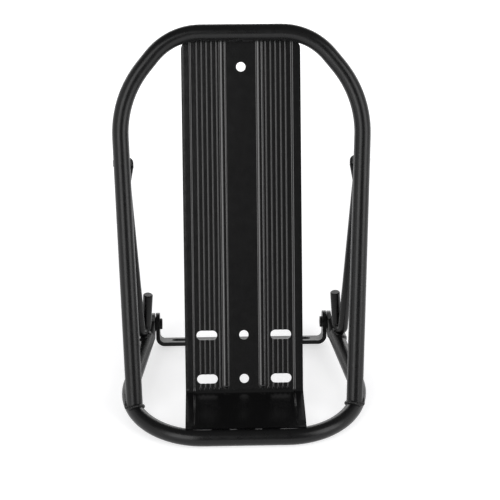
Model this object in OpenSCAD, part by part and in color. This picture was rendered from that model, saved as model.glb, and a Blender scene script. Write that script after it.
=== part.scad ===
// Tubular L-shaped luggage carrier with a ribbed back plate, two rod braces
// and a hinged strap that it stands on. Millimetres, +Z up, front toward -Y.
// The origin is on the floor, under the middle of the whole.

/* [Frame tube] */
// Outside diameter of the frame tube
tube_d = 16; // [15:0.5:17]
// Wall of the frame tube
tube_wall = 1.5; // [1:0.25:2]
// Thinning of the wall at each face in a bend
bend_thin = 0.02; // [0.02:0.01:0.05]

/* [Upright loop] */
// Lean of the upright back from vertical
lean = 23; // [19:0.5:26]
// Length up the upright, from the foot tube's axis to the top bar's axis
upright_len = 362; // [346:2:392]
// Outward splay of each leg
leg_splay = 2; // [1.4:0.2:2.8]
// Radius of each lower shoulder bend, at the tube's axis
lower_bend_r = 100; // [90:2:106]
// Straight between the two bends of a shoulder
shoulder_len = 13; // [8:1:18]
// Radius of each upper shoulder bend, at the tube's axis
upper_bend_r = 60; // [52:2:64]
// Angle of each upper shoulder bend
upper_bend_angle = 50.5; // [46.5:0.5:54.5]

/* [Foot loop] */
// Rise of the foot loop toward its arms
foot_rise = 4.8; // [3.6:0.2:6]
// Half of the straight front of the foot loop
front_half = 40; // [36:0.5:43]
// Radius of each front corner, at the tube's axis
corner_r = 72.5; // [69:0.5:76]
// Inward turn of each arm
arm_turn = 9.75; // [9:0.25:10.5]
// Length from the front tube's axis to the pivot, along the foot loop
foot_len = 188; // [184:1:198]
// Length of each arm's neck, where the tube is pressed flat
neck_len = 13; // [11:0.5:15]
// Distance of the ear's inner face from the arm's axis
ear_inset = 3.3; // [2.8:0.1:3.8]
// Thickness of the ear, the flat end of an arm
ear_t = 4; // [3.5:0.25:4.5]
// Diameter of the ear's round end
ear_d = 23; // [21:0.5:24]
// Diameter of the drain hole under each arm
drain_d = 4; // [3:0.5:5]
// Distance of the drain hole in front of the arm's neck
drain_gap = 26; // [20:1:34]

/* [Ribbed plate] */
// Width of the plate
plate_w = 114.5; // [112:0.5:117.5]
// Thickness of the sheet
sheet_t = 1.5; // [1.2:0.1:1.8]
// Distance of the plate's top edge below the top bar's axis
plate_drop = 4; // [2:0.5:5]
// Radius of the plate's top corners
plate_corner_r = 12; // [8:1:14]
// Length of the toe, from the bend to the front tube's axis
toe_len = 58.5; // [54:0.5:62]
// Reach of the lip past the front tube's axis
lip_reach = 2.5; // [1:0.5:4]
// Length of the flat lip in front of the ribs
lip_len = 9.5; // [8:0.5:12]
// Inside radius of the bend between back and toe
plate_bend_r = 6; // [5:0.5:8]
// Number of narrow ribs on each side
rib_count = 5; // [3:1:5]
// Distance between narrow ribs
rib_pitch = 4.75; // [4.5:0.05:4.9]
// Distance of the innermost narrow rib from the middle
rib_start = 23.6; // [23.2:0.1:24.2]
// Width of a narrow rib
rib_w = 2.8; // [2.4:0.1:3.2]
// Height of a narrow rib
rib_h = 1; // [0.8:0.1:1.2]
// Distance of each wide bead from the middle
bead_x = 17.7; // [17.1:0.1:18.3]
// Width of a wide bead
bead_w = 6.4; // [6:0.1:6.8]
// Height of a wide bead and of the edge bands
bead_h = 1.4; // [1.2:0.1:1.6]
// Width of the raised band along each edge
band_w = 8.5; // [7.5:0.5:9]

/* [Plate holes] */
// Diameter of the three round holes
hole_d = 9; // [8:0.5:10]
// Height of the lower row of holes above the bend
low_row = 12.5; // [12:0.5:16]
// Distance from the lower row to the upper row
row_gap = 43; // [38:1:48]
// Distance from the plate's top edge down to the single top hole
top_hole_drop = 28.3; // [23.3:1:60.3]
// Width of the slots
slot_w = 9; // [8:0.5:10]
// Overall length of the slots
slot_len = 20; // [18:0.5:22]
// Distance between the middles of the two slots in a row
slot_spacing = 72; // [68:1:76]

/* [Brace rods] */
// Diameter of the brace rods
rod_d = 10; // [9:0.5:11]
// Radius of the hairpin at the foot of a brace, at the rod's axis
hairpin_r = 5.8; // [5.6:0.1:6.5]
// Turn of the hairpin from straight across toward the line of the arm
hairpin_turn = 60; // [50:5:70]
// Distance of the hairpin outward from the arm's axis
hairpin_side = 2.5; // [1.5:0.25:3]
// Distance from the middle of the hairpin to the arm's neck
hairpin_gap = 5; // [5:0.5:9]
// Depth that a hairpin is let into the arm
hairpin_sink = 1; // [0.8:0.1:1.6]
// Length of the short peg above the hairpin
peg_len = 34.5; // [28.5:1:42.5]
// Inward lean of the peg
peg_lean = 4.5; // [3:0.5:6]
// Bevel on the cut end of the peg
peg_bevel = 0.8; // [0.4:0.1:1.2]
// Distance from the top of a leg's straight down to the middle of a brace's flat head
head_drop = 24.2; // [18.2:3:45.2]
// Length of the flat head
head_len = 10; // [9:0.5:13]
// Width of the flat head
head_w = 18; // [17:0.5:19]
// Thickness of the flat head
head_t = 4.4; // [4:0.2:4.8]
// Distance of the head's middle inward from the leg's axis
head_shift = 1.5; // [1:0.25:2]
// Radius of the head's top corners
head_corner_r = 5; // [3:0.5:6]
// Length of the brace's neck, where the rod is pressed flat
head_neck = 16; // [14:1:20]

/* [Stand strap] */
// Width of the strap
strap_w = 20; // [18:1:22]
// Thickness of the strap
strap_t = 4; // [3:0.5:4.5]
// Inside radius of the strap's two bends
strap_bend_r = 5; // [4:0.5:7]
// Swing of the strap forward from straight down
strap_swing = 16; // [10:1:20]
// Distance from the pivot to the middle of the strap's round end
strap_over = 1.8; // [0:0.2:3]
// Width of the two slots in the strap
strap_slot_w = 8.5; // [7:0.5:9.5]
// Overall length of the two slots in the strap
strap_slot_len = 22; // [18:1:26]
// Distance of each strap slot from the middle
strap_slot_x = 62; // [58:1:64]

/* [Pivots] */
// Diameter of the pivot bolts
bolt_d = 6; // [5:0.5:6.5]
// Radial clearance of a pivot bolt in the strap
pivot_clearance = 0.05; // [0.03:0.01:0.08]
// Radial clearance of a pivot bolt in an ear and in the washers
bolt_clearance = 0.2; // [0.15:0.05:0.3]
// Side play of the strap beside a bolt head and a spacer
side_play = 0.15; // [0.1:0.05:0.2]
// Diameter of a bolt head
bolt_head_d = 11.5; // [10.5:0.5:12]
// Height of a bolt head
bolt_head_h = 2.4; // [2.1:0.1:3]
// Bevel around the face of a bolt head
bolt_head_bevel = 0.4; // [0.2:0.1:0.6]
// Width of the hexagon socket in a bolt head, across its flats
socket_af = 4; // [3:0.5:4]
// Depth of the hexagon socket
socket_depth = 1.6; // [1.2:0.1:1.7]
// Diameter of a spacer washer
spacer_d = 15; // [13:0.5:16]
// Thickness of a spacer washer
spacer_t = 0.8; // [0.6:0.1:1]
// Diameter of a nut washer
washer_d = 12.5; // [12:0.5:14]
// Thickness of a nut washer
washer_t = 1.2; // [1:0.1:1.6]
// Width of a lock nut across its flats
nut_af = 10; // [9.5:0.5:11]
// Height of a lock nut's hexagon
nut_h = 4.2; // [4:0.2:5.4]
// Height of a lock nut's round collar, which holds the insert
collar_h = 1.8; // [1.6:0.1:2.2]
// Wall of the collar around the insert
collar_wall = 0.7; // [0.5:0.1:0.8]
// Wall of the insert around the bolt
insert_wall = 1; // [0.8:0.1:1]
// Length of the bolt past the lock nut
bolt_past_nut = 1.2; // [0.8:0.2:2]
// Bevel on the end of a bolt
bolt_bevel = 0.6; // [0.4:0.1:0.8]

/* [Welds] */
// Gap between a leg's coped end, its weld and the foot tube
cope_gap = 0.1; // [0.05:0.05:0.2]
// Width of the weld around the foot of a leg
leg_weld_w = 2.6; // [2.2:0.2:3.2]
// Height of the weld around the foot of a leg
leg_weld_h = 1.8; // [1.4:0.2:2]
// Height of the weld pad around the foot of a brace
pad_h = 1.8; // [1.4:0.2:2.4]
// Width of the weld pad around the foot of a brace
pad_margin = 1.8; // [1.4:0.2:2.4]
// Diameter of the weld beads beside flat pieces
stitch_d = 4; // [3.4:0.2:4.6]
// Depth that a weld bead bites into the pieces that it joins
weld_bite = 0.5; // [0.3:0.1:0.7]
// Length of each weld bead on a brace's head
head_stitch_len = 8; // [6:0.5:9]
// Length of each weld bead under the top bar
top_stitch_len = 11; // [9:0.5:12]
// Length of each weld bead under the toe
toe_stitch_len = 18; // [14:1:22]
// Distance between the weld beads under the toe
toe_stitch_pitch = 24; // [23:1:28]

/* [Hidden] */
$fn = 64;

black = "#1b1b1c";
black_steel = "#2b2c2f";
clear_nylon = "#dcdcd4";

left = -1;
right = 1;
tube_r = tube_d / 2;
tube_bore = tube_d - 2 * tube_wall;
bent_d = tube_d - 2 * bend_thin;
bent_bore = tube_bore + 2 * bend_thin;
rod_r = rod_d / 2;
hull_fn = 32;
skin = 0.01;   // thin slice that a hull starts or ends with
swell = 0.02;  // how much a ball at a joint stands out from the rod that it ends
overlap = 0.5; // how far a straight or a hull reaches into the piece that it continues
inset = 0.05;  // how far a hull's round end lies inside the rod that it continues
past = 1;      // how far a cut runs past the face that it opens

// Plan of the foot loop: x across, distance back from the front tube's axis
corner_end = corner_r * (1 + sin(arm_turn));
arm_widest = front_half + corner_r * cos(arm_turn);
function arm_x(back) = arm_widest - (back - corner_end) * tan(arm_turn);
ear_start = foot_len - ear_d / 2;
neck_start = ear_start - neck_len;
arm_len = (neck_start - corner_end) / cos(arm_turn);
ear_in = arm_x(foot_len) - ear_inset;
ear_out = ear_in + ear_t;
drain_back = neck_start - drain_gap;

// Side view: the toe lies on the front tube, and the plate's raised bands touch the back of the top bar
bend_angle = 90 - lean - foot_rise;
toe_top = tube_r + sheet_t;
plate_back = sqrt(pow(tube_r, 2) - pow(plate_drop, 2)) + bead_h;
leg_land = toe_len - (plate_back + toe_top * cos(bend_angle)) / sin(bend_angle);
bend_rise = (plate_back * cos(bend_angle) + toe_top) / sin(bend_angle);

// Upright loop, from the legs' feet on the foot loop to the top bar
leg_x = front_half + sqrt(pow(corner_r, 2) - pow(corner_r - leg_land, 2));
shoulder_slope = 90 - upper_bend_angle;
lower_bend_angle = shoulder_slope + leg_splay;
lower_bend_rise = lower_bend_r * (sin(shoulder_slope) + sin(leg_splay));
upper_bend_rise = upper_bend_r * (1 - sin(shoulder_slope));
shoulder_rise = lower_bend_rise + shoulder_len * cos(shoulder_slope) + upper_bend_rise;
leg_len = (upright_len - shoulder_rise) / cos(leg_splay);
head_rise = leg_len - head_drop;
lower_bend_run = lower_bend_r * (cos(leg_splay) - cos(shoulder_slope));
upper_bend_run = upper_bend_r * cos(shoulder_slope);
shoulder_run = lower_bend_run + shoulder_len * sin(shoulder_slope) + upper_bend_run;
top_half = leg_x + leg_len * sin(leg_splay) - shoulder_run;

// Plate: heights up the back, from the sharp corner between its two faces
plate_top = upright_len - plate_drop - bend_rise;
bend_inset = plate_bend_r * tan(bend_angle / 2);
mid_row = low_row + row_gap;
top_hole = plate_top - top_hole_drop;
lip_end = toe_len + lip_reach;
ribs_end = lip_end - lip_len;

// Brace: points in the foot loop's frame
hairpin_back = neck_start - hairpin_gap;
hairpin_at = [
    arm_x(hairpin_back) + hairpin_side,
    hairpin_back,
    tube_r + rod_r - hairpin_sink + hairpin_r
];
hairpin_out = hairpin_r * [cos(hairpin_turn), -sin(hairpin_turn), 0];
strut_foot = hairpin_at + hairpin_out;
peg_foot = hairpin_at - hairpin_out;
function behind_leg(out, back, up) = let (rise = up * cos(leg_splay) - out * sin(leg_splay)) [
    leg_x + out * cos(leg_splay) + up * sin(leg_splay),
    leg_land + back * sin(bend_angle) + rise * cos(bend_angle),
    rise * sin(bend_angle) - back * cos(bend_angle)
];
head_foot = behind_leg(-head_shift, tube_r + head_t / 2, head_rise - head_len / 2);
strut_dir = (head_foot - strut_foot) / norm(head_foot - strut_foot);
strut_top = head_foot - head_neck * strut_dir;

// Pivot: distances out from the middle, and the strap's reach down to the floor
strap_out = ear_in - spacer_t - side_play;
strap_in = strap_out - strap_t;
bolt_head_x = strap_in - side_play;
nut_x = ear_out + washer_t;
collar_x = nut_x + nut_h;
insert_d = bolt_d + 2 * insert_wall;
collar_d = insert_d + 2 * collar_wall;
pivot_z = tube_r + foot_len * sin(foot_rise);
strap_drop = (pivot_z - strap_w / 2 * sin(strap_swing)) / cos(strap_swing);
strap_bend_out = strap_bend_r + strap_t;

// Weld beads in the nook between a tube and a flat face
stitch_r = stitch_d / 2;
stitch_from_axis = tube_r + stitch_r - weld_bite;
function stitch_off(flat) = flat - stitch_r + weld_bite;
function stitch_side(flat) = sqrt(pow(stitch_from_axis, 2) - pow(stitch_off(flat), 2));

// Depth of the whole, which puts the origin under its middle
pivot_y = foot_len * cos(foot_rise);
land_y = leg_land * cos(foot_rise);
ear_rear = pivot_y + ear_d / 2;
strap_rear = pivot_y + strap_over * sin(strap_swing) + strap_w / 2;
bar_rear = land_y + upright_len * sin(lean) + tube_r;
plate_rear = land_y + (upright_len - plate_drop) * sin(lean) + (plate_back + sheet_t) * cos(lean);
middle_y = (max(ear_rear, strap_rear, bar_rear, plate_rear) - tube_r) / 2;

// ---- frames that the pieces are drawn in ----

// Foot loop: X across, Y back along its plane from the front tube's axis, Z square to it
module on_foot() {
    translate([0, -middle_y, tube_r]) rotate([foot_rise, 0, 0]) children();
}

// Upright, seen from the foot loop: X across, Y square to it and back, Z up it from the legs' feet
module to_upright() {
    translate([0, leg_land, 0]) rotate([bend_angle - 90, 0, 0]) children();
}

// Right leg, seen from the foot loop: Z along its axis
module to_leg() {
    to_upright() translate([leg_x, 0, 0]) rotate([0, leg_splay, 0]) children();
}

// Back of the plate, seen from the foot loop: X out of its face, Y across, Z up from the sharp corner
module to_plate() {
    to_upright() translate([0, plate_back, bend_rise]) rotate([0, 0, -90]) children();
}

// Pivot axis, seen from the foot loop: X across, Z up the strap's ears
module to_strap() {
    translate([0, foot_len, 0]) rotate([-foot_rise - strap_swing, 0, 0]) children();
}

// One side of the part: drawn for the right, and mirrored for the left
module on_side(side) {
    mirror([side == left ? 1 : 0, 0, 0]) children();
}

// ---- shared shapes ----

// Section of a tube, or of a rod where it has no bore
module tube_2d(d, bore) {
    difference() {
        circle(d = d);
        if (bore > 0) circle(d = bore);
    }
}

// A tube that starts along +Y and bends to its left after each straight: [length, radius, angle]
module bent_tube(moves, i = 0) {
    straight = moves[i][0];
    bend_r = moves[i][1];
    angle = moves[i][2];
    start = i > 0 ? -overlap : 0;
    end = angle > 0 ? straight + overlap : straight;
    translate([0, start, 0]) rotate([-90, 0, 0]) linear_extrude(end - start) tube_2d(tube_d, tube_bore);
    if (angle > 0)
        translate([-bend_r, straight, 0]) {
            rotate_extrude(angle = angle) translate([bend_r, 0]) tube_2d(bent_d, bent_bore);
            rotate([0, 0, angle]) translate([bend_r, 0, 0]) bent_tube(moves, i + 1);
        }
}

// A rod's direction from one point toward another, with Z along it
module toward(from, direction) {
    translate(from)
        rotate([0, acos(direction.z), atan2(direction.y, direction.x)]) children();
}

// A slot with round ends, its length along X
module slot_2d(length, width) {
    square([length - width, width], center = true);
    for (side = [left, right])
        translate([side * (length - width) / 2, 0]) circle(d = width);
}

// A round bar along X
module x_cylinder(d, from, to) {
    translate([from, 0, 0]) rotate([0, 90, 0]) cylinder(d = d, h = to - from);
}

// A ring along X
module x_ring(d, bore, from, to) {
    difference() {
        x_cylinder(d, from, to);
        x_cylinder(bore, from - past, to + past);
    }
}

// A weld bead along X with round ends
module stitch(length) {
    straight = length - stitch_d;
    x_cylinder(stitch_d, -straight / 2, straight / 2);
    for (side = [left, right])
        translate([side * straight / 2, 0, 0]) rotate([0, 90, 0]) sphere(r = stitch_r + swell);
}

// ---- frame tubes ----

module upright_tube() {
    to_upright()
        rotate([90, 0, 0]) translate([leg_x, 0, 0]) rotate([0, 0, -leg_splay])
            bent_tube([
                [leg_len, lower_bend_r, lower_bend_angle],
                [shoulder_len, upper_bend_r, upper_bend_angle],
                [2 * top_half, upper_bend_r, upper_bend_angle],
                [shoulder_len, lower_bend_r, lower_bend_angle],
                [leg_len, 0, 0]
            ]);
}

// Right arm of the foot loop: Z along its axis, from its corner to its neck
module to_arm() {
    translate([arm_x(corner_end), corner_end, 0]) rotate([-90, 0, arm_turn]) children();
}

// Right front corner of the foot loop
module corner_tube(d, bore = 0) {
    translate([front_half, corner_r, 0])
        rotate([0, 0, -90]) rotate_extrude(angle = 90 + arm_turn)
            translate([corner_r, 0]) tube_2d(d, bore);
}

module front_tube(d, bore = 0) {
    translate([-front_half - overlap, 0, 0]) rotate([0, 90, 0])
        linear_extrude(2 * (front_half + overlap)) tube_2d(d, bore);
}

module upright_loop() {
    color(black) on_foot() difference() {
        upright_tube();
        for (side = [left, right])
            on_side(side) corner_tube(bent_d + 2 * cope_gap);
    }
}

// Blends an arm's round tube into its flat ear
module neck() {
    hull() {
        translate([arm_x(neck_start), neck_start, 0]) rotate([-90, 0, arm_turn])
            translate([0, 0, -overlap]) cylinder(r = tube_r - inset, h = skin, $fn = hull_fn);
        translate([ear_in + inset, ear_start + overlap, inset - ear_d / 2])
            cube([ear_t - 2 * inset, skin, ear_d - 2 * inset]);
    }
}

module ear() {
    difference() {
        union() {
            translate([ear_in, ear_start, -ear_d / 2]) cube([ear_t, foot_len - ear_start, ear_d]);
            translate([0, foot_len, 0]) x_cylinder(ear_d, ear_in, ear_out);
        }
        translate([0, foot_len, 0])
            x_cylinder(bolt_d + 2 * bolt_clearance, ear_in - past, ear_out + past);
    }
}

module foot_loop() {
    color(black) on_foot() {
        front_tube(tube_d, tube_bore);
        for (side = [left, right])
            on_side(side) {
                corner_tube(bent_d, bent_bore);
                difference() {
                    to_arm() translate([0, 0, -overlap])
                        linear_extrude(arm_len + overlap) tube_2d(tube_d, tube_bore);
                    translate([arm_x(drain_back), drain_back, -tube_d])
                        cylinder(d = drain_d, h = tube_d);
                }
                neck();
                ear();
            }
    }
}

// ---- ribbed plate ----

// Section of a round rib that stands on the Y axis, out along X
module rib_2d(width, height) {
    round_r = (pow(width / 2, 2) + pow(height, 2)) / (2 * height);
    intersection() {
        translate([height - round_r, 0]) circle(r = round_r);
        translate([0, -width / 2]) square([height, width]);
    }
}

// Sections of the ribs and of the wide bead on one side
module ribs_2d() {
    translate([0, bead_x]) rib_2d(bead_w, bead_h);
    for (i = [0 : rib_count - 1])
        translate([0, rib_start + i * rib_pitch]) rib_2d(rib_w, rib_h);
}

// Section of one half of the pressed sheet: X out of its face, Y across
module half_plate_2d() {
    band_start = plate_w / 2 - band_w;
    difference() {
        union() {
            translate([-sheet_t, 0]) square([sheet_t, plate_w / 2]);
            ribs_2d();
            translate([-sheet_t, band_start]) square([sheet_t + bead_h, band_w]);
        }
        translate([-sheet_t, 0]) ribs_2d();
        translate([-sheet_t - past, band_start + sheet_t])
            square([bead_h + past, band_w]);
    }
}

module plate_2d() {
    half_plate_2d();
    mirror([0, 1]) half_plate_2d();
}

// Rounds one top corner of the plate
module plate_corner_cut() {
    translate([-sheet_t - past, plate_w / 2 - plate_corner_r, plate_top - plate_corner_r])
        rotate([0, 90, 0])
            linear_extrude(sheet_t + bead_h + 2 * past)
                difference() {
                    translate([-plate_corner_r - past, 0]) square(plate_corner_r + past);
                    circle(r = plate_corner_r);
                }
}

module plate_holes() {
    reach = bead_h + sheet_t + past;
    for (row = [low_row, mid_row, top_hole])
        translate([0, 0, row]) x_cylinder(hole_d, -reach, reach);
    for (row = [low_row, mid_row], side = [left, right])
        translate([-reach, side * slot_spacing / 2, row])
            rotate([90, 0, 90]) linear_extrude(2 * reach) slot_2d(slot_len, slot_w);
}

module plate_sheet() {
    difference() {
        union() {
            // back
            translate([0, 0, bend_inset]) linear_extrude(plate_top - bend_inset) plate_2d();
            // bend
            translate([plate_bend_r, 0, bend_inset])
                rotate([90, 0, 0]) rotate([0, 0, 180])
                    rotate_extrude(angle = bend_angle)
                        translate([plate_bend_r, 0]) mirror([1, 0]) plate_2d();
            // toe and its flat lip
            rotate([0, -bend_angle, 0]) {
                translate([0, 0, -ribs_end]) linear_extrude(ribs_end - bend_inset) plate_2d();
                translate([-sheet_t, -plate_w / 2, -lip_end]) cube([sheet_t, plate_w, lip_len]);
            }
        }
        plate_holes();
        for (side = [left, right])
            mirror([0, side == left ? 1 : 0, 0]) plate_corner_cut();
    }
}

module ribbed_plate() {
    color(black) on_foot() to_plate() plate_sheet();
}

// ---- braces ----

// Flat head of a brace, pressed from the rod, against the back of the leg
module brace_head() {
    to_leg() translate([-head_shift, tube_r, head_rise - head_len / 2]) {
        translate([-head_w / 2, 0, 0]) cube([head_w, head_t, head_len - head_corner_r]);
        translate([head_corner_r - head_w / 2, 0, 0])
            cube([head_w - 2 * head_corner_r, head_t, head_len]);
        for (side = [left, right])
            translate([side * (head_w / 2 - head_corner_r), 0, head_len - head_corner_r])
                rotate([-90, 0, 0]) cylinder(r = head_corner_r, h = head_t);
    }
}

module brace_neck() {
    hull() {
        to_leg() translate([-head_shift, tube_r, head_rise - head_len / 2 + overlap])
            translate([inset - head_w / 2, inset, 0]) cube([head_w - 2 * inset, head_t - 2 * inset, skin]);
        toward(strut_top, strut_dir)
            translate([0, 0, -overlap]) cylinder(r = rod_r - inset, h = skin, $fn = hull_fn);
    }
}

module hairpin() {
    translate(hairpin_at)
        rotate([90, 0, -hairpin_turn]) rotate([0, 0, 180])
            rotate_extrude(angle = 180) translate([hairpin_r, 0]) circle(d = rod_d);
}

// Strut, hairpin and peg are one bent rod
module brace_rod() {
    toward(strut_foot, strut_dir) cylinder(d = rod_d, h = norm(strut_top - strut_foot));
    for (joint = [strut_foot, peg_foot])
        translate(joint) sphere(r = rod_r + swell);
    hairpin();
    translate(peg_foot) rotate([-foot_rise, -peg_lean, 0]) {
        cylinder(d = rod_d, h = peg_len - peg_bevel);
        translate([0, 0, peg_len - peg_bevel])
            cylinder(d1 = rod_d, d2 = rod_d - 2 * peg_bevel, h = peg_bevel);
    }
}

module brace(side) {
    color(black) on_foot() on_side(side) {
        brace_head();
        brace_neck();
        difference() {
            brace_rod();
            to_arm() cylinder(d = tube_d, h = arm_len);
        }
    }
}

// ---- stand strap ----

// Section of the strap: X across, Y up from its pivot axis
module strap_2d() {
    difference() {
        rounded_u_2d(strap_out, -strap_drop, strap_bend_out);
        rounded_u_2d(strap_in, strap_t - strap_drop, strap_bend_r);
    }
}

// A filled U up to the pivot axis, with round lower corners
module rounded_u_2d(half_w, bottom, corner) {
    translate([-half_w, bottom + corner]) square([2 * half_w, strap_over - bottom - corner]);
    translate([corner - half_w, bottom]) square([2 * (half_w - corner), corner]);
    for (side = [left, right])
        translate([side * (half_w - corner), bottom + corner]) circle(r = corner);
}

module stand_strap() {
    color(black) on_foot() to_strap() difference() {
        union() {
            translate([0, strap_w / 2, 0]) rotate([90, 0, 0]) linear_extrude(strap_w) strap_2d();
            for (side = [left, right])
                on_side(side) translate([0, 0, strap_over]) x_cylinder(strap_w, strap_in, strap_out);
        }
        x_cylinder(bolt_d + 2 * pivot_clearance, -strap_out - past, strap_out + past);
        for (side = [left, right])
            translate([side * strap_slot_x, 0, -strap_drop - past])
                linear_extrude(strap_t + 2 * past) slot_2d(strap_slot_len, strap_slot_w);
    }
}

// ---- pivots, from the inside out ----

module at_pivot(side) {
    on_foot() on_side(side) translate([0, foot_len, 0]) children();
}

// Flat head with a bevelled face and a hexagon socket
module bolt_head() {
    face_x = bolt_head_x - bolt_head_h;
    difference() {
        union() {
            x_cylinder(bolt_head_d, face_x + bolt_head_bevel, bolt_head_x);
            translate([face_x, 0, 0]) rotate([0, 90, 0])
                cylinder(d1 = bolt_head_d - 2 * bolt_head_bevel, d2 = bolt_head_d, h = bolt_head_bevel);
        }
        translate([face_x - past, 0, 0]) rotate([0, 90, 0])
            cylinder(d = socket_af / cos(30), h = socket_depth + past, $fn = 6);
    }
}

module pivot_bolt(side) {
    bolt_end = collar_x + collar_h + bolt_past_nut;
    color(black_steel) at_pivot(side) {
        bolt_head();
        x_cylinder(bolt_d, bolt_head_x - skin, bolt_end - bolt_bevel);
        translate([bolt_end - bolt_bevel, 0, 0]) rotate([0, 90, 0])
            cylinder(d1 = bolt_d, d2 = bolt_d - 2 * bolt_bevel, h = bolt_bevel);
    }
}

module spacer_washer(side) {
    color(black) at_pivot(side)
        x_ring(spacer_d, bolt_d + 2 * bolt_clearance, ear_in - spacer_t, ear_in);
}

module nut_washer(side) {
    color(black_steel) at_pivot(side)
        x_ring(washer_d, bolt_d + 2 * bolt_clearance, ear_out, nut_x);
}

module lock_nut(side) {
    color(black_steel) at_pivot(side) {
        difference() {
            translate([nut_x, 0, 0]) rotate([0, 90, 0])
                cylinder(d = nut_af / cos(30), h = nut_h, $fn = 6);
            x_cylinder(bolt_d, nut_x - past, collar_x + past);
        }
        x_ring(collar_d, insert_d, collar_x, collar_x + collar_h);
    }
}

module nut_insert(side) {
    color(clear_nylon) at_pivot(side)
        x_ring(insert_d, bolt_d, collar_x, collar_x + collar_h);
}

// ---- welds ----

// Bead around the foot of a leg: what is close to both tubes
module leg_weld(side) {
    color(black) on_foot() on_side(side) difference() {
        intersection() {
            to_leg() cylinder(d = tube_d + 2 * leg_weld_w, h = 2 * tube_d);
            corner_tube(bent_d + 2 * leg_weld_h);
        }
        to_leg() translate([0, 0, -past])
            cylinder(d = tube_d + 2 * cope_gap, h = 2 * tube_d + 2 * past);
        corner_tube(bent_d);
    }
}

// Pad around the foot of a brace, on top of the arm
module brace_foot_weld(side) {
    // half of the rod's length and width where it leaves the pad
    sunk = pad_h + hairpin_sink;
    outer_r = hairpin_r + rod_r;
    half_len = sqrt(pow(outer_r, 2) - pow(outer_r - sunk, 2));
    half_w = sqrt(pow(rod_r, 2) - pow(rod_r - sunk, 2));
    color(black) on_foot() on_side(side) difference() {
        intersection() {
            to_arm() cylinder(d = tube_d + 2 * pad_h, h = arm_len);
            translate([hairpin_at.x, hairpin_at.y, 0]) rotate([0, 0, -hairpin_turn])
                linear_extrude(tube_d) slot_2d(2 * (half_len + pad_margin), 2 * (half_w + pad_margin));
        }
        to_arm() cylinder(d = tube_d, h = arm_len + past);
        hairpin();
    }
}

// Beads in the nooks between a leg and a brace's flat head
module brace_head_weld(side) {
    color(black) on_foot() on_side(side) difference() {
        for (edge = [left, right])
            to_leg() translate([edge * stitch_side(tube_r), stitch_off(tube_r), head_rise])
                rotate([0, 90, 0]) stitch(head_stitch_len);
        to_leg() cylinder(d = tube_d, h = head_rise + head_len);
        brace_head();
    }
}

// Beads under the top bar, in the nook in front of the plate's smooth middle
module plate_top_welds() {
    smooth_half = bead_x - bead_w / 2;
    color(black) on_foot() difference() {
        to_upright() translate([0, stitch_off(plate_back), upright_len - stitch_side(plate_back)])
            for (side = [left, right])
                translate([side * smooth_half / 2, 0, 0]) stitch(top_stitch_len);
        to_upright() translate([0, 0, upright_len]) x_cylinder(tube_d, -top_half, top_half);
        to_plate() translate([-sheet_t, -smooth_half, plate_top - tube_d])
            cube([sheet_t, 2 * smooth_half, tube_d]);
    }
}

// Beads under the toe, in the nook behind the front tube
module plate_toe_welds() {
    color(black) on_foot() difference() {
        translate([0, stitch_side(tube_r), stitch_off(tube_r)])
            for (i = [-1 : 1])
                translate([i * toe_stitch_pitch, 0, 0]) stitch(toe_stitch_len);
        x_cylinder(tube_d, -plate_w / 2, plate_w / 2);
        translate([-plate_w / 2, 0, tube_r]) cube([plate_w, tube_d, tube_r]);
    }
}

upright_loop();
foot_loop();
ribbed_plate();
brace(left);  // left_brace
brace(right);  // right_brace
stand_strap();
pivot_bolt(left);  // left_pivot_bolt
pivot_bolt(right);  // right_pivot_bolt
spacer_washer(left);  // left_spacer_washer
spacer_washer(right);  // right_spacer_washer
nut_washer(left);  // left_nut_washer
nut_washer(right);  // right_nut_washer
lock_nut(left);  // left_lock_nut
lock_nut(right);  // right_lock_nut
nut_insert(left);  // left_nut_insert
nut_insert(right);  // right_nut_insert
leg_weld(left);  // left_leg_weld
leg_weld(right);  // right_leg_weld
brace_foot_weld(left);  // left_brace_foot_weld
brace_foot_weld(right);  // right_brace_foot_weld
brace_head_weld(left);  // left_brace_head_weld
brace_head_weld(right);  // right_brace_head_weld
plate_top_welds();
plate_toe_welds();
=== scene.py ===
"""A folding luggage rack of bent tube in black powder coat, dressed for a studio look.

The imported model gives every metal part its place. This script paints those parts, adds the
finer shapes of the pressed plate and of the welds at the legs' feet, and sets up the camera,
the floor and the lamps. Sizes are in millimetres and go through MM; places of lamps and of
the camera are in metres."""
import math

import bpy
import numpy as np
from mathutils import Matrix, Vector


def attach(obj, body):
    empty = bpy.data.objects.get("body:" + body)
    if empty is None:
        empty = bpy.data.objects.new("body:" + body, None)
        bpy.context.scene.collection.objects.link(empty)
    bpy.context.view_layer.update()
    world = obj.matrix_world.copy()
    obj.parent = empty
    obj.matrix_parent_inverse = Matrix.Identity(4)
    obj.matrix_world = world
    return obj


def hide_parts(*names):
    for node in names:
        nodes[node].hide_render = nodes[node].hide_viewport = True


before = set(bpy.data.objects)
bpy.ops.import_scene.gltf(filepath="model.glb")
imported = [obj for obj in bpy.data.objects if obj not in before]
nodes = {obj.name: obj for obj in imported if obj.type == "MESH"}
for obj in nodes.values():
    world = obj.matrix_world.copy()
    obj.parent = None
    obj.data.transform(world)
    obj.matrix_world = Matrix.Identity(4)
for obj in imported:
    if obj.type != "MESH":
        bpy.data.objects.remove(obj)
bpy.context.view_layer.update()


# ---------------------------------------------------------------- node trees

def new_material(name):
    """An empty material, its node tree and its output node."""
    material = bpy.data.materials.new(name)
    material.use_nodes = True
    tree = material.node_tree
    tree.nodes.clear()
    output = tree.nodes.new("ShaderNodeOutputMaterial")
    return material, tree, output


def add(tree, kind, **inputs):
    """A node of that kind with its plain inputs set: spaces in a name are underscores."""
    node = tree.nodes.new(kind)
    for key, value in inputs.items():
        node.inputs[key.replace("_", " ")].default_value = value
    return node


def link(tree, a, out, b, into):
    tree.links.new(a.outputs[out], b.inputs[into])


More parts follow.
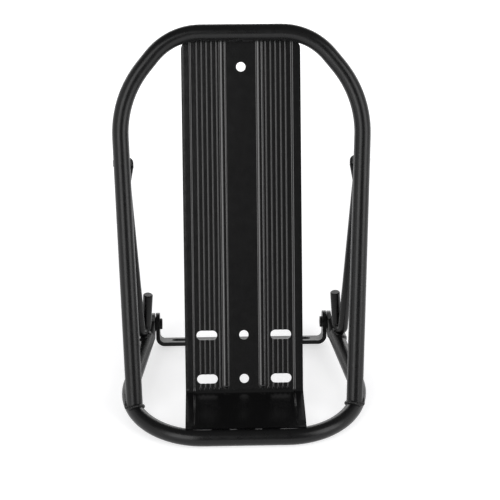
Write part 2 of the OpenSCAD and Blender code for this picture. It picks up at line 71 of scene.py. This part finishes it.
def combine(tree, operation, a, a_out, b, b_out):
    """A math node on two linked values."""
    node = tree.nodes.new("ShaderNodeMath")
    node.operation = operation
    link(tree, a, a_out, node, 0)
    link(tree, b, b_out, node, 1)
    return node


def noise(tree, coords, scale, detail, roughness):
    """A noise texture on Object coordinates, scale in cycles per metre."""
    node = add(tree, "ShaderNodeTexNoise", Scale=scale, Detail=detail, Roughness=roughness)
    link(tree, coords, "Object", node, "Vector")
    return node


def ramp(tree, source, out, from_range, to_range, smooth=False):
    """Maps one range of a value onto another, clamped at both ends."""
    node = add(tree, "ShaderNodeMapRange", From_Min=from_range[0], From_Max=from_range[1],
               To_Min=to_range[0], To_Max=to_range[1])
    if smooth:
        node.interpolation_type = "SMOOTHSTEP"
    link(tree, source, out, node, "Value")
    return node


# ---------------------------------------------------------------- finishes

CLOUDS = 45.0
SHEEN = 140.0
ORANGE_PEEL = 620.0
WELD_LUMPS = 420.0
PEEL_DEPTH = 0.0004
LUMP_DEPTH = 0.0007


def powder_coat(name, dark, light, dull, peel=0.008, specular=0.3, lumps=0.0):
    """A coat with a fine orange peel, a cloudy sheen and a trace of lighter grey.

    dull is the range of its roughness. On a weld, lumps are the swells of the bead under the
    paint."""
    material, tree, output = new_material(name)
    coords = tree.nodes.new("ShaderNodeTexCoord")
    shader = add(tree, "ShaderNodeBsdfPrincipled", Metallic=0.0, IOR=1.5, Specular_IOR_Level=specular)
    clouds = noise(tree, coords, CLOUDS, detail=4.0, roughness=0.55)
    colour = tree.nodes.new("ShaderNodeMix")
    colour.data_type = "RGBA"
    colour.inputs[6].default_value = (*dark, 1)
    colour.inputs[7].default_value = (*light, 1)
    link(tree, clouds, "Fac", colour, 0)
    link(tree, colour, 2, shader, "Base Color")
    sheen = noise(tree, coords, SHEEN, detail=3.0, roughness=0.6)
    roughness = ramp(tree, sheen, "Fac", (0.3, 0.7), dull)
    link(tree, roughness, "Result", shader, "Roughness")
    orange_peel = noise(tree, coords, ORANGE_PEEL, detail=2.0, roughness=0.5)
    bump = add(tree, "ShaderNodeBump", Strength=peel, Distance=PEEL_DEPTH)
    link(tree, orange_peel, "Fac", bump, "Height")
    if lumps:
        beads = add(tree, "ShaderNodeTexVoronoi", Scale=WELD_LUMPS)
        beads.feature = "SMOOTH_F1"
        link(tree, coords, "Object", beads, "Vector")
        swell = add(tree, "ShaderNodeBump", Strength=lumps, Distance=LUMP_DEPTH)
        link(tree, beads, "Distance", swell, "Height")
        link(tree, swell, "Normal", bump, "Normal")
    link(tree, bump, "Normal", shader, "Normal")
    link(tree, shader, "BSDF", output, "Surface")
    return material


paint = powder_coat("frame_powder_coat", (0.0035, 0.0035, 0.0037), (0.0065, 0.0065, 0.0068),
                    dull=(0.25, 0.33))
plate_coat = powder_coat("plate_powder_coat", (0.0018, 0.0018, 0.0019), (0.0030, 0.0030, 0.0032),
                         dull=(0.16, 0.21), peel=0.004, specular=0.70)
strap_coat = powder_coat("strap_powder_coat", (0.0045, 0.0045, 0.0047), (0.0085, 0.0085, 0.009),
                         dull=(0.30, 0.42))
weld_coat = powder_coat("weld_powder_coat", (0.0035, 0.0035, 0.0037), (0.0070, 0.0070, 0.0074),
                        dull=(0.22, 0.32), peel=0.02, specular=0.35, lumps=0.8)
bolt_black = powder_coat("blackened_bolt_steel", (0.010, 0.010, 0.011), (0.022, 0.021, 0.020),
                         dull=(0.30, 0.46), peel=0.04)
nylon_black = powder_coat("black_nylon", (0.012, 0.012, 0.013), (0.020, 0.020, 0.021),
                          dull=(0.45, 0.55), peel=0.03)
nylon_clear = powder_coat("clear_nylon", (0.62, 0.61, 0.56), (0.74, 0.73, 0.68),
                          dull=(0.30, 0.42), peel=0.03, specular=0.5)

finish_of = {"stand_strap": strap_coat, "ribbed_plate": plate_coat}
for side in ("left", "right"):
    finish_of[side + "_pivot_bolt"] = bolt_black
    finish_of[side + "_nut_washer"] = bolt_black
    finish_of[side + "_lock_nut"] = bolt_black
    finish_of[side + "_spacer_washer"] = nylon_black
    finish_of[side + "_nut_insert"] = nylon_clear
for name, obj in nodes.items():
    obj.data.materials.clear()
    obj.data.materials.append(finish_of.get(name, weld_coat if "weld" in name else paint))


# ---------------------------------------------------------------- the carrier's own measures

MM = 0.001
TUBE_R = 8.0
FOOT_RISE = math.radians(4.8)
LEAN = math.radians(23)
LEG_SPLAY = math.radians(2)
UPRIGHT_LEN = 362.0
FRONT_HALF = 40.0
CORNER_R = 72.5
FOOT_LEN = 188.0
EAR_R = 11.5
PLATE_W = 114.5
SHEET_T = 1.5
PLATE_DROP = 4.0
PLATE_CORNER_R = 12.0
TOE_LEN = 58.5
LIP_REACH = 2.5
LIP_LEN = 9.5
PLATE_BEND_R = 6.0
RIB_START = 23.6
RIB_PITCH = 4.75
RIB_COUNT = 5
RIB_W = 2.1
RIB_H = 1.0
BEAD_PLACE = 17.7
BEAD_W = 6.4
BEAD_H = 1.4
BAND_W = 8.5
HOLE_R = 4.5
SLOT_HALF = 10.0
SLOT_PLACE = 36.0
LOW_ROW = 12.5
MID_ROW = 55.5
HOLE_DROP = 28.3

BACK_ANGLE = FOOT_RISE + LEAN
BEND = math.radians(90) - BACK_ANGLE
TOE_TOP = TUBE_R + SHEET_T
PLATE_BACK = math.sqrt(TUBE_R ** 2 - PLATE_DROP ** 2) + BEAD_H
LEG_LAND = TOE_LEN - (PLATE_BACK + TOE_TOP * math.cos(BEND)) / math.sin(BEND)
BEND_RISE = (PLATE_BACK * math.cos(BEND) + TOE_TOP) / math.sin(BEND)
PLATE_TOP = UPRIGHT_LEN - PLATE_DROP - BEND_RISE
BEND_INSET = PLATE_BEND_R * math.tan(BEND / 2)
HOLE_ROWS = (LOW_ROW, MID_ROW, PLATE_TOP - HOLE_DROP)
RIB_PLACES = RIB_START + RIB_PITCH * np.arange(RIB_COUNT)
PIVOT_Y = FOOT_LEN * math.cos(FOOT_RISE)
MIDDLE_Y = (PIVOT_Y + EAR_R - TUBE_R) / 2
LEG_X = FRONT_HALF + math.sqrt(CORNER_R ** 2 - (CORNER_R - LEG_LAND) ** 2)


def from_foot(x, y, z):
    """Points of the foot loop's frame as places in metres: turned up by the foot's rise."""
    x, y, z = np.broadcast_arrays(x, y, z)
    return MM * np.stack([x, y * math.cos(FOOT_RISE) - z * math.sin(FOOT_RISE) - MIDDLE_Y,
                          TUBE_R + y * math.sin(FOOT_RISE) + z * math.cos(FOOT_RISE)], axis=-1)


def upright_on_foot(back, up):
    """Y and Z, in the foot loop's frame, of points of the upright's frame."""
    return (LEG_LAND + back * math.cos(BACK_ANGLE) + up * math.sin(BACK_ANGLE),
            up * math.cos(BACK_ANGLE) - back * math.sin(BACK_ANGLE))


def from_upright(x, back, up):
    """Points of the upright's frame: across, square to it and back, and up it from the legs' feet."""
    y, z = upright_on_foot(back, up)
    return from_foot(x, y, z)


def from_plate(out, across, up):
    """Points of the plate's frame: out of its face, across, and up from its sharp corner."""
    return from_upright(across, PLATE_BACK - out, BEND_RISE + up)


def make_piece(name, points, faces, material, stands_for, sharp):
    """A closed mesh that rides on the frame and takes a node's place: edges over sharp degrees stay."""
    mesh = bpy.data.meshes.new(name)
    mesh.from_pydata(points.reshape(-1, 3).tolist(), [], faces)
    mesh.validate()
    mesh.polygons.foreach_set("use_smooth", np.ones(len(mesh.polygons), dtype=bool))
    mesh.set_sharp_from_angle(angle=math.radians(sharp))
    mesh.materials.append(material)
    mesh.update()
    piece = bpy.data.objects.new(name, mesh)
    bpy.context.scene.collection.objects.link(piece)
    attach(piece, "frame")
    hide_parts(stands_for)


# ---------------------------------------------------------------- ribbed plate

TOE_RUN = TOE_LEN + LIP_REACH - BEND_INSET
BEND_RUN = PLATE_BEND_R * BEND
BACK_START = TOE_RUN + BEND_RUN
SHEET_RUN = BACK_START + PLATE_TOP - BEND_INSET
RIB_OVERRUN = 0.5
ARCH_FOOT = 0.2
BAND_STEP = 1.8
EDGE_RUN = 3.2
EDGE_FALL = 0.12
LIP_FADE = 4.0
BACK_SHARE = 0.85
PROBE = 0.02
SNAP = 0.3


def smooth_step(value):
    """Rises from 0 to 1 along 3t^2 - 2t^3, flat at both ends."""
    t = np.clip(value, 0, 1)
    return t * t * (3 - 2 * t)


def pressed_height(across, along):
    """Height of the pressed pattern over the flat sheet.

    A rib's section is a round arch, the square root of one minus the squared distance from its
    centre line, and the line ends where the bend starts, so each rib has a round lower end. The
    edge bands run on to the lip, rise on a smooth step and fall a little to the sheet's sides."""
    side = np.abs(across)
    high = np.zeros_like(side)
    ridges = [(place, RIB_W, RIB_H) for place in RIB_PLACES] + [(BEAD_PLACE, BEAD_W, BEAD_H)]
    for place, width, height in ridges:
        past_end = np.maximum(BACK_START - RIB_OVERRUN + width / 2 - along, 0)
        reach = np.hypot(side - place, past_end) / (width / 2)
        arch = np.sqrt(np.maximum(1 - np.minimum(reach, 1) ** 2, 0)) * smooth_step((1 - reach) / ARCH_FOOT)
        high = np.maximum(high, height * arch)
    band = smooth_step((side - (PLATE_W / 2 - BAND_W - BAND_STEP / 2)) / BAND_STEP)
    fall = EDGE_FALL * (1 - smooth_step((PLATE_W / 2 - side) / EDGE_RUN))
    off_lip = smooth_step((along - LIP_LEN + LIP_FADE / 4) / LIP_FADE)
    return np.maximum(high, (BEAD_H - fall) * band * off_lip)


def sheet_point(across, along, height):
    """A place on the plate: toe, bend and back are one path, and height stands square to it."""
    turn = BEND * (1 - np.clip((along - TOE_RUN) / BEND_RUN, 0, 1))
    on_toe = np.maximum(TOE_RUN - along, 0)
    on_back = np.maximum(along - BACK_START, 0)
    out = PLATE_BEND_R * (1 - np.cos(turn)) + on_toe * math.sin(BEND) + height * np.cos(turn)
    up = BEND_INSET - PLATE_BEND_R * np.sin(turn) - on_toe * math.cos(BEND) + on_back + height * np.sin(turn)
    return from_plate(out, across, up)


def edge_distance(across, along):
    """Distance inside the sheet from its nearest hole edge or rounded top corner, negative outside."""
    side = np.abs(across)
    up = along - BACK_START + BEND_INSET
    inside = np.full_like(side, PLATE_W)
    holes = [(row, 0, 0) for row in HOLE_ROWS]
    slots = [(row, SLOT_PLACE, SLOT_HALF - HOLE_R) for row in (LOW_ROW, MID_ROW)]
    for row, place, half in holes + slots:
        off = np.hypot(np.maximum(np.abs(side - place) - half, 0), up - row) - HOLE_R
        inside = np.minimum(inside, off)
    corner_x = side - (PLATE_W / 2 - PLATE_CORNER_R)
    corner_y = up - (PLATE_TOP - PLATE_CORNER_R)
    corner = PLATE_CORNER_R - np.hypot(np.maximum(corner_x, 0), np.maximum(corner_y, 0))
    return np.where((corner_x > 0) & (corner_y > 0), np.minimum(inside, corner), inside)


def spread(start, end, step):
    """Even stops from start to end, as close to that step as they fit."""
    return np.linspace(start, end, int(round((end - start) / step)) + 1)


def graded_columns():
    """Columns across the sheet, mirrored: sixteen to a rib's pitch, close at the holes, wide between."""
    ribs_from = RIB_PLACES[0] - RIB_PITCH / 2
    ribs_to = RIB_PLACES[-1] + RIB_PITCH / 2
    side = np.concatenate([
        spread(0, 6, 0.5), spread(6, 14, 2.0), spread(14, 21, 0.4),
        spread(ribs_from, ribs_to, RIB_PITCH / 16),
        spread(ribs_to, 51, 0.45), spread(51, PLATE_W / 2, 0.7)])
    return np.unique(np.round(np.concatenate([-side, side]), 4))


def graded_rows():
    """Rows along the sheet: close together at the lip, the bend, the holes and the top, wide between."""
    rows_at = [BACK_START - BEND_INSET + row for row in HOLE_ROWS]
    fine = [spread(5, 14, 1.2), spread(TOE_RUN, BACK_START + 4, 0.6)]
    fine += [spread(row - 6, row + 6, 0.5) for row in rows_at]
    fine += [spread(SHEET_RUN - 13, SHEET_RUN, 0.6)]
    wide = [np.linspace(a[-1], b[0], int((b[0] - a[-1]) / 7) + 2) for a, b in zip(fine, fine[1:])]
    return np.unique(np.round(np.concatenate(fine + wide), 4))


def drawn_to_edges(across, along):
    """The grid with its points close to an outline moved onto it, along the distance's slope."""
    for _ in range(3):
        gap = edge_distance(across, along)
        slope_x = edge_distance(across + PROBE, along) - edge_distance(across - PROBE, along)
        slope_y = edge_distance(across, along + PROBE) - edge_distance(across, along - PROBE)
        near = np.abs(gap) < SNAP
        across = across - np.where(near, gap * slope_x / (2 * PROBE), 0)
        along = along - np.where(near, gap * slope_y / (2 * PROBE), 0)
    return across, along


def kept_cells(outside):
    """A grid's quads with no corner outside, and the triangles left of those with one outside."""
    index = np.arange(outside.size).reshape(outside.shape)
    corners = [index[:-1, :-1], index[:-1, 1:], index[1:, 1:], index[1:, :-1]]
    cells = np.stack(corners, axis=-1).reshape(-1, 4)
    out = outside.reshape(-1)[cells]
    one_out = out.sum(axis=1) == 1
    turned = (out[one_out].argmax(axis=1)[:, None] + np.arange(1, 4)) % 4
    return cells[out.sum(axis=1) == 0], np.take_along_axis(cells[one_out], turned, axis=1)


def rim_edges(quads, triangles, count):
    """The directed edges that only one face has."""
    edges = np.concatenate([
        np.stack([f, np.roll(f, -1, axis=1)], axis=-1).reshape(-1, 2) for f in (quads, triangles)])
    keys = np.sort(edges, axis=1) @ np.array([count, 1])
    _, place, times = np.unique(keys, return_index=True, return_counts=True)
    return edges[place[times == 1]]


def plate_mesh():
    """The pressed sheet as a grid of two parameters, with each hole's outline drawn onto its edge.

    The front carries the whole pattern. The back face lies one sheet's thickness behind, and its
    pattern is a little shallower. A strip along every rim joins the two."""
    across, along = drawn_to_edges(*np.meshgrid(graded_columns(), graded_rows()))
    quads, triangles = kept_cells(edge_distance(across, along) < -PROBE)
    height = pressed_height(across, along)
    front = sheet_point(across, along, height)
    back = sheet_point(across, along, BACK_SHARE * height - SHEET_T)
    count = across.size
    rim = rim_edges(quads, triangles, count)
    strip = np.stack([rim[:, 1], rim[:, 0], rim[:, 0] + count, rim[:, 1] + count], axis=-1)
    faces = quads.tolist() + triangles.tolist()
    faces += (quads[:, ::-1] + count).tolist() + (triangles[:, ::-1] + count).tolist() + strip.tolist()
    return used_only(np.concatenate([front.reshape(-1, 3), back.reshape(-1, 3)]), faces)


def used_only(points, faces):
    """The points that faces use, renumbered in order."""
    used = np.unique(np.concatenate([np.ravel(f) for f in faces]))
    new_number = np.zeros(len(points), dtype=int)
    new_number[used] = np.arange(len(used))
    return points[used], [new_number[f].tolist() for f in faces]


plate_points, plate_faces = plate_mesh()
make_piece("pressed_plate", plate_points, plate_faces, plate_coat, "ribbed_plate", sharp=55)


# ---------------------------------------------------------------- welds at the legs' feet

WELD_STEPS = 360
WELD_SIDES = 20
WELD_WAVES = 18
WELD_R = 1.75
WELD_SWELL = 0.16
WAVE_LAG = 0.9
HALVINGS = 30
SEARCH_FROM = 3.0
SEARCH_TO = 30.0


def off_loop(x, back, up):
    """Distance of points of the upright's frame from the centre line of the foot loop's bent corner."""
    y, z = upright_on_foot(back, up)
    return np.hypot(np.hypot(x - FRONT_HALF, y - CORNER_R) - CORNER_R, z)


def leg_point(radius, turn, along):
    """A point of a leg: radius out from its axis, turn round it, and along goes up the axis."""
    side = radius * np.cos(turn)
    x = LEG_X + along * math.sin(LEG_SPLAY) + side * math.cos(LEG_SPLAY)
    up = along * math.cos(LEG_SPLAY) - side * math.sin(LEG_SPLAY)
    return x, radius * np.sin(turn), up


def leg_weld_points(side):
    """A bead along the line where a leg's outside meets the foot loop's outside.

    Halving steps along the leg find the line at each turn. The bead's section is a circle square to
    that line, whose radius swells on the absolute sine of the turn, bent back at the bead's sides."""
    turn = np.linspace(0, 2 * math.pi, WELD_STEPS, endpoint=False)
    low, high = np.full_like(turn, SEARCH_FROM), np.full_like(turn, SEARCH_TO)
    for _ in range(HALVINGS):
        half_way = (low + high) / 2
        inside = off_loop(*leg_point(TUBE_R, turn, half_way)) < TUBE_R
        low, high = np.where(inside, half_way, low), np.where(inside, high, half_way)
    mirror = np.array([side, 1, 1]) / MM
    line = from_upright(*leg_point(TUBE_R, turn, low)) * mirror
    axis_point = from_upright(*leg_point(0, turn, low)) * mirror
    tangent = np.roll(line, -1, axis=0) - np.roll(line, 1, axis=0)
    tangent /= np.linalg.norm(tangent, axis=1, keepdims=True)
    outward = line - axis_point
    outward -= (outward * tangent).sum(axis=1, keepdims=True) * tangent
    outward /= np.linalg.norm(outward, axis=1, keepdims=True)
    across = np.cross(tangent, outward)
    around = np.linspace(0, 2 * math.pi, WELD_SIDES, endpoint=False)[None, :, None]
    swell = np.abs(np.sin(WELD_WAVES * turn[:, None, None] + WAVE_LAG * np.cos(around)))
    radius = WELD_R * (1 + WELD_SWELL * swell)
    ring = np.cos(around) * outward[:, None] + np.sin(around) * across[:, None]
    return MM * (line[:, None] + radius * ring)


def ring_faces(rows, columns):
    """Quads of a grid that closes both ways."""
    i, j = np.meshgrid(np.arange(rows), np.arange(columns), indexing="ij")
    next_i, next_j = (i + 1) % rows, (j + 1) % columns
    corners = [i * columns + j, next_i * columns + j, next_i * columns + next_j, i * columns + next_j]
    return np.stack(corners, axis=-1).reshape(-1, 4)


def outward_faces(points, quads):
    """The quads, turned about if the volume that they close comes out negative."""
    a, b, c, d = (points.reshape(-1, 3)[quads[:, n]] for n in range(4))
    volume = (np.cross(b - a, c - a) * a).sum() + (np.cross(c - a, d - a) * a).sum()
    return quads if volume > 0 else quads[:, ::-1]


weld_quads = ring_faces(WELD_STEPS, WELD_SIDES)
for side, sign in (("left", -1), ("right", 1)):
    bead = leg_weld_points(sign)
    faces = outward_faces(bead, weld_quads)
    make_piece(side + "_foot_bead", bead, faces.tolist(), paint, side + "_leg_weld", sharp=80)


# ---------------------------------------------------------------- camera

CAMERA_PLACE = Vector((-0.03202, -1.23234, 0.80080))
YAW = math.radians(1.786)
PITCH = math.radians(27.538)
ROLL = math.radians(0.065)
SENSOR = 36.0
LENS = 104.67

ahead = Vector((math.sin(YAW) * math.cos(PITCH), math.cos(YAW) * math.cos(PITCH), -math.sin(PITCH)))
level = Vector((math.cos(YAW), -math.sin(YAW), 0.0))
above = level.cross(ahead)
right = math.cos(ROLL) * level + math.sin(ROLL) * above
top = -math.sin(ROLL) * level + math.cos(ROLL) * above
camera = bpy.data.objects.new("camera", bpy.data.cameras.new("camera"))
bpy.context.scene.collection.objects.link(camera)
stand = Matrix((right, top, -ahead)).transposed().to_4x4()
stand.translation = CAMERA_PLACE
camera.matrix_world = stand
camera.data.sensor_width = SENSOR
camera.data.lens = LENS
camera.data.clip_start = 0.05
camera.data.clip_end = 50.0
bpy.context.scene.camera = camera


# ---------------------------------------------------------------- floor

FLOOR_HALF = 6.0
FLOOR_GREY = (0.62, 0.62, 0.63, 1)
GLOW_FROM = 0.3
GLOW_TO = 1.5
# glow near the carrier, lower than far out: painted shade round the carrier
PAINTED_SHADE_GLOW = 0.60
GLOW_FAR = 1.0


def floor_material():
    """A near-white floor: its own shading keeps the shadow, and a glow lifts it to white far out. The glow
    is weaker near the carrier, so the floor round it is painted darker: painted shade.
    """
    material, tree, output = new_material("pale_floor")
    matt = add(tree, "ShaderNodeBsdfDiffuse", Color=FLOOR_GREY)
    glow = add(tree, "ShaderNodeEmission", Color=(1, 1, 1, 1))
    seen = tree.nodes.new("ShaderNodeLightPath")
    both = combine(tree, "MAXIMUM", seen, "Is Camera Ray", seen, "Is Glossy Ray")
    coords = tree.nodes.new("ShaderNodeTexCoord")
    distance = tree.nodes.new("ShaderNodeVectorMath")
    distance.operation = "LENGTH"
    link(tree, coords, "Object", distance, 0)
    # weaker glow near the carrier than far out paints shade on the floor round it
    glow_with_painted_shade = ramp(tree, distance, "Value", (GLOW_FROM, GLOW_TO), (PAINTED_SHADE_GLOW, GLOW_FAR))
    strength = combine(tree, "MULTIPLY", both, "Value", glow_with_painted_shade, "Result")
    link(tree, strength, "Value", glow, "Strength")
    lit = tree.nodes.new("ShaderNodeAddShader")
    link(tree, matt, "BSDF", lit, 0)
    link(tree, glow, "Emission", lit, 1)
    link(tree, lit, "Shader", output, "Surface")
    return material


floor_corners = [(x * FLOOR_HALF, y * FLOOR_HALF, 0) for x, y in ((-1, -1), (1, -1), (1, 1), (-1, 1))]
floor_mesh = bpy.data.meshes.new("floor")
floor_mesh.from_pydata(floor_corners, [], [(0, 1, 2, 3)])
floor = bpy.data.objects.new("floor", floor_mesh)
floor.data.materials.append(floor_material())
bpy.context.scene.collection.objects.link(floor)


# ---------------------------------------------------------------- light tent

OPENING_AXIS = (0.20, -0.93, 0.31)
OPENING_INNER = math.radians(12)
OPENING_OUTER = math.radians(58)
OPENING_GLOSS = 0.12
WALL_GLOSS = 0.9
EVEN_LIGHT = 0.42
ROOF_STARTS = 0.40
ROOF_FULL = 0.76
ROOF_SHARE = 0.15


def blend(tree, low, high, factor, out):
    """A mix of two plain numbers or linked values by a linked factor."""
    mix = tree.nodes.new("ShaderNodeMix")
    for socket, value in ((2, low), (3, high)):
        if isinstance(value, float):
            mix.inputs[socket].default_value = value
        else:
            tree.links.new(value, mix.inputs[socket])
    link(tree, factor, out, mix, 0)
    return mix.outputs[0]


def tent_world():
    """A pale light tent with one soft dark opening in front.

    Seen directly it is white. In reflections its strength runs from the wall's to the opening's
    with the angle between the ray and the opening's axis, and it fades to the roof's overhead.
    Matt surfaces get one even strength."""
    world = bpy.data.worlds.new("light_tent")
    bpy.context.scene.world = world
    world.use_nodes = True
    tree = world.node_tree
    tree.nodes.clear()
    coords = tree.nodes.new("ShaderNodeTexCoord")
    facing = tree.nodes.new("ShaderNodeVectorMath")
    facing.operation = "DOT_PRODUCT"
    link(tree, coords, "Generated", facing, 0)
    facing.inputs[1].default_value = OPENING_AXIS
    wall = ramp(tree, facing, "Value", (math.cos(OPENING_OUTER), math.cos(OPENING_INNER)),
                (WALL_GLOSS, OPENING_GLOSS), smooth=True)
    height = tree.nodes.new("ShaderNodeSeparateXYZ")
    link(tree, coords, "Generated", height, "Vector")
    roof = ramp(tree, height, "Z", (ROOF_STARTS, ROOF_FULL), (1.0, ROOF_SHARE), smooth=True)
    tent = combine(tree, "MULTIPLY", wall, "Result", roof, "Result")
    seen = tree.nodes.new("ShaderNodeLightPath")
    in_gloss = blend(tree, EVEN_LIGHT, tent.outputs["Value"], seen, "Is Glossy Ray")
    direct = combine(tree, "MAXIMUM", seen, "Is Camera Ray", seen, "Is Transmission Ray")
    strength = blend(tree, in_gloss, 1.0, direct, "Value")
    sky = add(tree, "ShaderNodeBackground", Color=(1, 1, 1, 1))
    tree.links.new(strength, sky.inputs["Strength"])
    out = tree.nodes.new("ShaderNodeOutputWorld")
    link(tree, sky, "Background", out, "Surface")


tent_world()


# ---------------------------------------------------------------- lamps

CARRIER_MIDDLE = Vector((0.0, 0.0, 0.15))


def softbox(name, place, width, height, watts):
    """A rectangular lamp at a place, facing the carrier's middle."""
    lamp = bpy.data.lights.new(name, "AREA")
    lamp.shape = "RECTANGLE"
    lamp.size, lamp.size_y = width, height
    lamp.energy = watts
    obj = bpy.data.objects.new(name, lamp)
    obj.location = place
    obj.rotation_euler = (CARRIER_MIDDLE - Vector(place)).to_track_quat("-Z", "Y").to_euler()
    bpy.context.scene.collection.objects.link(obj)


softbox("left_box", (-0.725, -1.256, 0.83), width=0.9, height=1.4, watts=12.3)
softbox("right_box", (1.174, -0.852, 0.83), width=0.9, height=1.4, watts=12.3)
softbox("back_box", (0.0, 1.5, 0.50), width=3.0, height=0.6, watts=12)

bpy.context.scene.view_settings.view_transform = "Standard"
